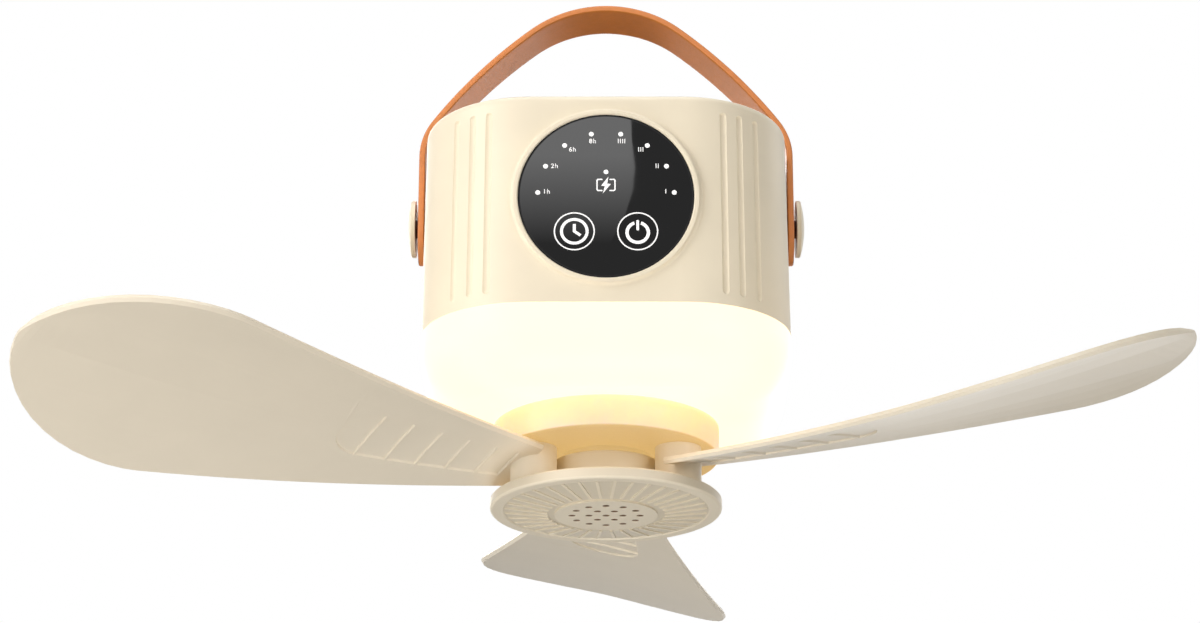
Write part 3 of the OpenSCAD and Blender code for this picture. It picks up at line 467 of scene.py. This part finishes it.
def thicken(bm, thickness):
    """Gives flat faces a thickness, upwards."""
    made = bmesh.ops.extrude_face_region(bm, geom=bm.faces[:])
    lifted = [item for item in made["geom"] if isinstance(item, bmesh.types.BMVert)]
    bmesh.ops.translate(bm, verts=lifted, vec=(0, 0, thickness))
    bmesh.ops.recalc_face_normals(bm, faces=bm.faces)


# ------------------------------------------------------------------ strap

STRAP_STEPS = 168
STRAP_STRANDS = 12
# Share of the steps that the straight part takes, the rest being the round ends.
STRAIGHT_SHARE = 0.9
# The cut wanders a little from side to side.
WANDER = 0.12 * MM
WANDERS_PER_METRE = 90
# Angles between faces that make an edge a cut one, and that keep an edge sharp.
CUT_ANGLE = math.radians(60)
SHARP_ANGLE = math.radians(50)


def toward(turn):
    """Direction that leans by an angle from straight up to the right."""
    return Vector((math.sin(turn), math.cos(turn)))


def strap_arcs(size):
    """Arch, shoulder and bend: middle, radius to the leather's core, first and last slope."""
    first, second = size.arch_slope, size.bend_slope
    shoulder = ((size.strap_side - size.arch_radius * math.sin(first)
                 - size.bend_radius * (1 - math.sin(second)))
                / (math.sin(second) - math.sin(first)))
    arch_middle = Vector((0, size.strap_thickness - size.arch_radius))
    shoulder_middle = arch_middle + toward(first) * (size.arch_radius - shoulder)
    bend_middle = shoulder_middle + toward(second) * (shoulder - size.bend_radius)
    half = size.strap_thickness / 2
    return ((arch_middle, size.arch_radius - half, 0, first),
            (shoulder_middle, shoulder - half, first, second),
            (bend_middle, size.bend_radius - half, second, math.pi / 2))


def strap_reach(size):
    """Length of the leather from the apex to its tail."""
    arcs = strap_arcs(size)
    return (sum(radius * (end - start) for _middle, radius, start, end in arcs)
            + size.pivot_drop + size.strap_tail + arcs[-1][0].y)


def strap_place(size, along):
    """Middle of the leather and its outward direction at a distance from the apex."""
    side = -1 if along < 0 else 1
    rest = abs(along)
    for middle, radius, start, end in strap_arcs(size):
        out = toward(min(end, start + rest / radius))
        place = middle + out * radius
        rest -= radius * (end - start)
        if rest <= 0:
            break
    place.y -= max(0, rest)
    return Vector((side * place.x, 0, place.y)), Vector((side * out.x, 0, out.y))


def flat_strap(size):
    """The strap as it is cut: flat, with round ends and softened edges. X runs along it."""
    radius = size.strap_width / 2
    straight = strap_reach(size) - radius
    bm = bmesh.new()
    bmesh.ops.create_grid(bm, x_segments=STRAP_STEPS, y_segments=STRAP_STRANDS, size=0.5)
    for vert in bm.verts:
        share = abs(vert.co.x) * 2
        turn = max(0, share - STRAIGHT_SHARE) / (1 - STRAIGHT_SHARE) * math.pi / 2
        along = straight * min(1, share / STRAIGHT_SHARE) + radius * math.sin(turn)
        vert.co = Vector((math.copysign(along, vert.co.x),
                          vert.co.y * size.strap_width * math.cos(turn),
                          -size.strap_thickness / 2))
    bmesh.ops.remove_doubles(bm, verts=bm.verts, dist=1e-6)
    thicken(bm, size.strap_thickness)
    rim = [edge for edge in bm.edges
           if len(edge.link_faces) == 2 and edge.calc_face_angle(0) > CUT_ANGLE]
    bmesh.ops.bevel(bm, geom=rim, affect="EDGES", offset=size.edge_round, segments=3,
                    profile=0.5, material=-1)
    return bm


def mark_sides(bm):
    """Gives the flat strap's faces their slots: grain side, flesh side and cut edge."""
    for face in bm.faces:
        up = face.normal.z
        face.material_index = 0 if up > 0.5 else 1 if up < -0.5 else 2


def bend_strap(bm, size):
    """Takes the flat strap over the housing."""
    for vert in bm.verts:
        flat = vert.co.copy()
        place, out = strap_place(size, flat.x)
        wander = noise.noise(flat * WANDERS_PER_METRE) * WANDER
        vert.co = place + out * flat.z + Vector((0, flat.y + wander, 0))
    bmesh.ops.recalc_face_normals(bm, faces=bm.faces)


class FAN_OT_strap(bpy.types.Operator):
    """Leather strap, cut flat and bent over the housing"""
    bl_idname = "fan.strap"
    bl_label = "Leather strap"

    def execute(self, context):
        size, paint = sizes(), colours()
        grain = leather("strap_grain", paint.leather, pores=1500, roughness=0.5, contrast=0.08)
        flesh = leather("strap_flesh", paint.flesh, pores=900, roughness=0.42, contrast=0.05,
                        gloss=0.25, coarse=0.12)
        edge = leather("strap_edge", paint.edge, pores=700, roughness=0.45, contrast=0.05,
                       gloss=0.3, coarse=0.2)
        bm = flat_strap(size)
        mark_sides(bm)
        bend_strap(bm, size)
        piece = add_piece("leather_strap", bm, "strap", "strap_leather", grain, flesh, edge)
        piece.data.shade_smooth()
        piece.data.set_sharp_from_angle(angle=SHARP_ANGLE)
        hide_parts("handle_strap")
        return {"FINISHED"}


# ------------------------------------------------------------------ panel marks

# Lengths on the glass are in millimetres, counted from the panel's centre, and turns in
# degrees. The glass stands in front of the wall.
GLASS_TOP = 1.1
DOT_COUNT = 8
DOT_REACH = 20.9
DOT_RADIUS = 0.76
DOT_START = 177.5
DOT_TURN = 25
CHARGE_DOT_RISE = 7.75
CHARGE_DOT_RADIUS = 0.74
WORD_HEIGHT = 1.5
WORD_SPACING = 1.14
WORD_BOLDNESS = 0.03
# Height of a capital as a share of the size of its type.
CAPITAL_SHARE = 0.72
HOURS = (("1h", -18.2, 1.2), ("2h", -15.8, 9.7), ("6h", -10.3, 15.2), ("8h", -4.1, 18.0))
SPEEDS = (("IIII", 4.8, 18.0), ("III", 10.7, 15.2), ("II", 15.7, 9.7), ("I", 18.3, 1.2))
BATTERY_RISE = 3.4
BOLT = ((0.75, 2.75), (-1.5, -0.25), (-0.35, -0.35), (-0.95, -2.75), (1.5, 0.35), (0.35, 0.45))
# Keys: rings by their outer and inner radius, shapes counted from the key's middle.
KEY_X = 9.65
KEY_Y = -11.9
KEY_RING = (6.25, 5.85)
CLOCK_RING = (4.35, 3.45)
CLOCK_HANDS = ((-0.45, 2.4), (-0.45, -0.2), (1.65, -1.7), (2.15, -1.0), (0.45, 0.2), (0.45, 2.4))
POWER_RING = (3.75, 2.75)
POWER_DROP = 0.4
POWER_GAP = 36
POWER_BAR_FOOT = 0.7
POWER_BAR_TOP = 3.3
POWER_BAR_WIDTH = 0.85


def panel_frame():
    """Takes millimetres on the glass to the model's own frame."""
    return (Matrix.Translation(PANEL_CENTRE) @ Matrix.Rotation(math.pi / 2 - PANEL_LEAN, 4, "X")
            @ Matrix.Scale(MM, 4) @ Matrix.Translation((0, 0, GLASS_TOP)))


def add_disc(bm, x, y, radius):
    bmesh.ops.create_circle(bm, cap_ends=True, radius=radius, segments=28,
                            matrix=Matrix.Translation((x, y, 0)))


def add_arc(bm, x, y, outer, inner, start=0, sweep=360, steps=72):
    """Flat ring, or a part of one, from a direction counted from the right."""
    aim = Vector((math.cos(math.radians(start)), math.sin(math.radians(start)), 0))
    centre = Vector((x, y, 0))
    low = bm.verts.new(centre + aim * inner)
    high = bm.verts.new(centre + aim * outer)
    edge = bm.edges.new((low, high))
    bmesh.ops.spin(bm, geom=[low, high, edge], cent=centre, axis=(0, 0, 1),
                   angle=math.radians(sweep), steps=steps, use_merge=sweep == 360)


def add_bar(bm, start, end, width):
    """Straight line with round ends."""
    start, end = Vector((*start, 0)), Vector((*end, 0))
    way = end - start
    turn = Matrix.Rotation(math.atan2(way.y, way.x) - math.pi / 2, 4, "Z")
    made = bmesh.ops.create_circle(bm, cap_ends=True, radius=width / 2, segments=16)["verts"]
    far = [vert for vert in made if vert.co.y > -1e-6]
    bmesh.ops.translate(bm, verts=far, vec=(0, way.length, 0))
    bmesh.ops.transform(bm, matrix=Matrix.Translation(start) @ turn, verts=made)


def add_outline(bm, corners, x=0, y=0):
    """Flat shape whose corners are counted from a point."""
    bm.faces.new([bm.verts.new((x + right, y + up, 0)) for right, up in corners])


def add_words(bm, words, x, y):
    """Printed word, centred on a point."""
    curve = bpy.data.curves.new("word", "FONT")
    curve.body = words
    curve.size = WORD_HEIGHT / CAPITAL_SHARE
    curve.align_x = "CENTER"
    curve.align_y = "CENTER"
    curve.offset = WORD_BOLDNESS
    curve.space_character = WORD_SPACING
    carrier = bpy.data.objects.new("word", curve)
    bpy.context.scene.collection.objects.link(carrier)
    before = set(bm.verts)
    bm.from_mesh(carrier.to_mesh())
    fresh = [vert for vert in bm.verts if vert not in before]
    bmesh.ops.translate(bm, verts=fresh, vec=(x, y, 0))
    carrier.to_mesh_clear()
    bpy.data.objects.remove(carrier)
    bpy.data.curves.remove(curve)


def add_dots(bm):
    """Arc of light dots over the keys, and the charging dot."""
    for step in range(DOT_COUNT):
        turn = math.radians(DOT_START - DOT_TURN * step)
        add_disc(bm, DOT_REACH * math.cos(turn), DOT_REACH * math.sin(turn), DOT_RADIUS)
    add_disc(bm, 0, CHARGE_DOT_RISE, CHARGE_DOT_RADIUS)


def add_battery_sign(bm, width=2.75, height=1.85, corner=0.5, line=0.42, reach=1.25):
    """Battery outline, given by half its width and height, that a charging bolt breaks."""
    for side in (-1, 1):
        edge = side * width
        bend = edge - side * corner
        add_bar(bm, (edge, BATTERY_RISE - height + corner),
                (edge, BATTERY_RISE + height - corner), line)
        for up in (1, -1):
            level = BATTERY_RISE + up * height
            add_bar(bm, (bend, level), (side * reach, level), line)
        for up in (-1, 1):
            add_arc(bm, bend, BATTERY_RISE + up * (height - corner),
                    corner + line / 2, corner - line / 2,
                    start={(1, 1): 0, (-1, 1): 90, (-1, -1): 180, (1, -1): 270}[side, up],
                    sweep=90, steps=8)
    add_outline(bm, BOLT, y=BATTERY_RISE)


def add_keys(bm):
    """Ringed keys: a clock for the timer and the power sign."""
    for x in (-KEY_X, KEY_X):
        add_arc(bm, x, KEY_Y, *KEY_RING, steps=96)
    add_arc(bm, -KEY_X, KEY_Y, *CLOCK_RING)
    add_outline(bm, CLOCK_HANDS, -KEY_X, KEY_Y)
    add_arc(bm, KEY_X, KEY_Y - POWER_DROP, *POWER_RING, start=90 + POWER_GAP / 2,
            sweep=360 - POWER_GAP, steps=60)
    add_bar(bm, (KEY_X, KEY_Y + POWER_BAR_FOOT), (KEY_X, KEY_Y + POWER_BAR_TOP),
            POWER_BAR_WIDTH)


class FAN_OT_panel_marks(bpy.types.Operator):
    """White marks on the glass: hours, speeds, battery sign, timer and power keys"""
    bl_idname = "fan.panel_marks"
    bl_label = "Panel marks"

    def execute(self, context):
        bm = bmesh.new()
        add_dots(bm)
        for words, x, y in HOURS + SPEEDS:
            add_words(bm, words, x, y)
        add_battery_sign(bm)
        add_keys(bm)
        bmesh.ops.recalc_face_normals(bm, faces=bm.faces)
        thicken(bm, sizes().mark_thickness / MM)
        bmesh.ops.transform(bm, matrix=panel_frame(), verts=bm.verts)
        add_piece("panel_marks", bm, "lamp_body", "led_white", ink(colours().mark))
        return {"FINISHED"}


# ------------------------------------------------------------------ finishes of the CAD parts

class FAN_OT_body_finish(bpy.types.Operator):
    """Finishes of the housing, panel, knobs and lamp"""
    bl_idname = "fan.body_finish"
    bl_label = "Body finishes"

    def execute(self, context):
        paint = colours()
        cream = moulded("shell_cream", paint.shell)
        collar = moulded("collar_brown", srgb(92, 56, 34), roughness=0.5, contrast=0.08)
        dress(cream, "housing_shell", "strap_knob_left", "strap_knob_right")
        dress(gloss_black(paint.glass), "touch_panel")
        dress(glowing_opal(paint.glow), "lamp_cover")
        dress(rubber("washer_rubber", srgb(38, 22, 15)), "strap_washers")
        dress(collar, "strap_collars")
        return {"FINISHED"}


class FAN_OT_rotor_finish(bpy.types.Operator):
    """Finishes of the hub, its pins and its screws"""
    bl_idname = "fan.rotor_finish"
    bl_label = "Rotor finishes"

    def execute(self, context):
        paint = colours()
        blade = moulded("blade_cream", paint.blade, contrast=0.015, grain=0.005)
        steel = metal("pin_steel", srgb(200, 201, 204), roughness=0.25)
        dress(glow_painted_disc(paint.hub, paint.underside_glow_paint), "hub_carrier")
        dress(lower_disc(paint.cap, paint.painted_hole_shade), "hub_cap")
        dress(blade, "blade_left", "blade_right", "blade_back")
        dress(steel, "hinge_pins", "hub_screws", "motor_shaft")
        return {"FINISHED"}


class FAN_OT_inner_finish(bpy.types.Operator):
    """Finishes of the parts inside: boards, cells, frame and motor"""
    bl_idname = "fan.inner_finish"
    bl_label = "Inner finishes"

    def execute(self, context):
        white = moulded("frame_white", srgb(238, 237, 231), roughness=0.5)
        sleeve = moulded("cell_sleeve", srgb(58, 122, 180), roughness=0.3, contrast=0.06)
        steel = metal("bright_steel", srgb(190, 192, 196), roughness=0.3)
        cast = metal("cast_aluminium", srgb(200, 200, 202), roughness=0.45, stretch=(1, 1, 1))
        iron = metal("lamination_iron", srgb(96, 98, 104), roughness=0.5)
        copper = metal("coil_copper", srgb(214, 128, 84), roughness=0.3, stretch=(1, 1, 20))
        brass = metal("insert_brass", srgb(214, 178, 96), roughness=0.3)
        dress(white, "mid_frame", "battery_holder")
        dress(sleeve, "battery_cells")
        dress(steel, "usb_socket", "body_screws", "motor_bearings", "rotor_bell")
        dress(cast, "motor_base")
        dress(iron, "stator_core", "magnet_ring")
        dress(copper, "stator_coils")
        dress(brass, "strap_nuts")
        dress(printed_board("green_board", srgb(30, 92, 58)), "control_board", "main_board")
        dress(printed_board("white_board", srgb(236, 236, 230)), "led_board")
        dress(resin("lamp_chip", srgb(255, 224, 150), glow=1.0), "lamp_leds")
        dress(resin("signal_chip", srgb(245, 245, 240), glow=0.2), "indicator_leds")
        dress(rubber("pad_foam", srgb(60, 60, 60)), "touch_pads")
        return {"FINISHED"}


# ------------------------------------------------------------------ stage

WHITE = (1, 1, 1, 1)
WORLD_TONE = (1, 0.975, 0.94, 1)
WORLD_LIGHT = 0.03

# Places are in metres, the pitch in degrees, the lens and its sensor in millimetres.
CAMERA_PLACE = (0, -0.918, -0.4389)
CAMERA_PITCH = 20.12
CAMERA_LENS = 91.1
CAMERA_SENSOR = 36
CAMERA_SHIFT = -0.005

LAMP_AIM = Vector((0, 0, -0.12))
LAMPS = (
    # name, place and width in metres, power in watts, tone
    ("left_front", (-0.6, -0.7, -0.1), 0.5, 2.0, (1, 0.97, 0.94)),
    ("right_front", (0.6, -0.7, -0.1), 0.5, 2.5, (1, 0.98, 0.95)),
    ("left_side", (-0.9, 0, -0.2), 0.5, 1.6, (1, 0.98, 0.95)),
    ("left_near", (-0.4, -0.3, 0.15), 0.25, 1.0, (1, 0.97, 0.94)),
    ("low_near", (-0.3, -0.45, -0.5), 0.3, 0.9, (1, 0.98, 0.96)),
    ("low", (0, -0.2, -0.95), 0.5, 2.5, (1, 0.98, 0.96)),
    ("top", (0, -0.1, 0.8), 0.5, 2.8, (1, 0.99, 0.97)),
    ("high_front", (-0.1, -0.4, 0.3), 0.3, 0.35, (1, 0.98, 0.95)),
    ("right_tip", (0.3, -0.2, -0.28), 0.1, 0.04, (0.96, 0.98, 1)),
    ("strap_sheen", (0.37, 0.81, -0.05), 0.4, 0.7, (1, 0.99, 0.98)),
    ("right_back", (0.75, 0.5, 0.45), 0.4, 1.0, (1, 0.99, 0.97)),
    ("back", (-0.2, 0.85, 0.3), 0.5, 3.2, (1, 0.98, 0.95)),
)

FLOOR_Z = -1.4
FLOOR_HALF = 6
FLOOR_PAPER = (0.72, 0.71, 0.69)
# The floor shows a shade below white near the fan and turns white further out.
FLOOR_NEAR = 0.8
FLOOR_FAR = 3.5
FLOOR_NEAR_WHITE = 0.72

# The card faces the glass along the camera's mirrored line of sight. Its outline is in
# millimetres, and its curved side is the one that shows in the glass.
CARD_OUTLINE = ((11.5, 60), (12.6, 28.6), (14.2, 15), (13.2, 3.5), (9.2, -9.1), (2.6, -21.6),
                (-10, -42), (-60, -60), (-80, 60))
CARD_CENTRE = Vector((0.0004, -0.60904, 0.15189))
CARD_AIM = Vector((0, 0.917478, -0.397787))
CARD_LOW = 0.1305
CARD_HIGH = 0.171
CARD_LOW_LIGHT = 1
CARD_HIGH_LIGHT = 7.1


def background(scene):
    """World that is white to the eye and gives a soft even light."""
    world = bpy.data.worlds.new("studio")
    scene.world = world
    world.use_nodes = True
    nodes, links = world.node_tree.nodes, world.node_tree.links
    nodes.clear()
    seen, light = nodes.new("ShaderNodeBackground"), nodes.new("ShaderNodeBackground")
    seen.inputs["Color"].default_value = WHITE
    light.inputs["Color"].default_value = WORLD_TONE
    light.inputs["Strength"].default_value = WORLD_LIGHT
    path = nodes.new("ShaderNodeLightPath")
    mix, out = nodes.new("ShaderNodeMixShader"), nodes.new("ShaderNodeOutputWorld")
    share = path.outputs["Is Camera Ray"]
    for ray in ("Is Glossy Ray", "Is Transmission Ray"):
        larger = nodes.new("ShaderNodeMath")
        larger.operation = "MAXIMUM"
        links.new(share, larger.inputs[0])
        links.new(path.outputs[ray], larger.inputs[1])
        share = larger.outputs[0]
    links.new(share, mix.inputs["Fac"])
    links.new(light.outputs[0], mix.inputs[1])
    links.new(seen.outputs[0], mix.inputs[2])
    links.new(mix.outputs[0], out.inputs["Surface"])


def add_camera(scene):
    data = bpy.data.cameras.new("camera")
    data.lens = CAMERA_LENS
    data.sensor_width = CAMERA_SENSOR
    data.shift_x = CAMERA_SHIFT
    camera = bpy.data.objects.new("camera", data)
    scene.collection.objects.link(camera)
    camera.location = CAMERA_PLACE
    camera.rotation_euler = (math.radians(90 + CAMERA_PITCH), 0, 0)
    scene.camera = camera


def add_lamp(name, place, width, power, tone):
    """Soft square lamp."""
    data = bpy.data.lights.new(name, "AREA")
    data.shape = "SQUARE"
    data.size = width
    data.energy = power
    data.color = tone
    lamp = bpy.data.objects.new(name, data)
    bpy.context.scene.collection.objects.link(lamp)
    lamp.location = place
    lamp.visible_camera = False
    lamp.rotation_euler = (LAMP_AIM - Vector(place)).to_track_quat("-Z", "Y").to_euler()


def add_floor():
    """Pale paper floor that keeps the shadow and has no edge to be seen."""
    finish = Finish("floor_paper", FLOOR_PAPER, Roughness=0.9)
    path = finish.add("ShaderNodeLightPath")
    fade = finish.spread(finish.distance(), FLOOR_NEAR_WHITE, 1.0, FLOOR_NEAR, FLOOR_FAR)
    finish.shader.inputs["Emission Color"].default_value = WHITE
    finish.set("Emission Strength",
               finish.combine("MULTIPLY", path.outputs["Is Camera Ray"], fade))
    bm = bmesh.new()
    bmesh.ops.create_grid(bm, x_segments=2, y_segments=2, size=FLOOR_HALF,
                          matrix=Matrix.Translation((0, 0, FLOOR_Z)))
    floor = new_object("floor", bm, finish.material)


def add_light_card():
    """Card with a curved side, seen only as a reflection in the glass. It is brighter
    towards its top."""
    finish = Finish("card_light", (0, 0, 0), Roughness=1.0)
    finish.shader.inputs["Emission Color"].default_value = WHITE
    finish.set("Emission Strength", finish.spread(finish.height(), CARD_LOW_LIGHT,
                                                  CARD_HIGH_LIGHT, CARD_LOW, CARD_HIGH))
    turn = CARD_AIM.to_track_quat("-Z", "Y").to_matrix().to_4x4()
    bm = bmesh.new()
    add_outline(bm, CARD_OUTLINE)
    bmesh.ops.transform(bm, verts=bm.verts,
                        matrix=Matrix.Translation(CARD_CENTRE) @ turn @ Matrix.Scale(MM, 4))
    card = new_object("light_card", bm, finish.material)
    card.visible_camera = False
    card.visible_shadow = False
    card.visible_diffuse = False


class FAN_OT_stage(bpy.types.Operator):
    """Camera, lamps, floor and the light card that the glass mirrors"""
    bl_idname = "fan.stage"
    bl_label = "Stage"

    def execute(self, context):
        scene = context.scene
        scene.view_settings.view_transform = "Standard"
        background(scene)
        add_camera(scene)
        for lamp in LAMPS:
            add_lamp(*lamp)
        add_floor()
        add_light_card()
        return {"FINISHED"}


# ------------------------------------------------------------------ sidebar and run

STEPS = ("stage", "body_finish", "rotor_finish", "inner_finish", "strap", "panel_marks")


class FAN_PT_sidebar(bpy.types.Panel):
    """Lists the steps and the settings"""
    bl_idname = "FAN_PT_sidebar"
    bl_label = "Camping fan"
    bl_space_type = "VIEW_3D"
    bl_region_type = "UI"
    bl_category = "Camping fan"

    def draw(self, context):
        for step in STEPS:
            self.layout.operator("fan." + step)
        for group in (context.scene.fan_sizes, context.scene.fan_colours):
            box = self.layout.box()
            for name in group.bl_rna.properties.keys():
                if name not in {"rna_type", "name"}:
                    box.prop(group, name)


CLASSES = (FanSizes, FanColours, FAN_OT_stage, FAN_OT_body_finish, FAN_OT_rotor_finish,
           FAN_OT_inner_finish, FAN_OT_strap, FAN_OT_panel_marks, FAN_PT_sidebar)


def register():
    for cls in CLASSES:
        bpy.utils.register_class(cls)
    bpy.types.Scene.fan_sizes = bpy.props.PointerProperty(type=FanSizes)
    bpy.types.Scene.fan_colours = bpy.props.PointerProperty(type=FanColours)


def unregister():
    del bpy.types.Scene.fan_colours
    del bpy.types.Scene.fan_sizes
    for cls in reversed(CLASSES):
        bpy.utils.unregister_class(cls)


def main():
    register()
    for step in STEPS:
        getattr(bpy.ops.fan, step)()


if __name__ == "__main__":
    main()
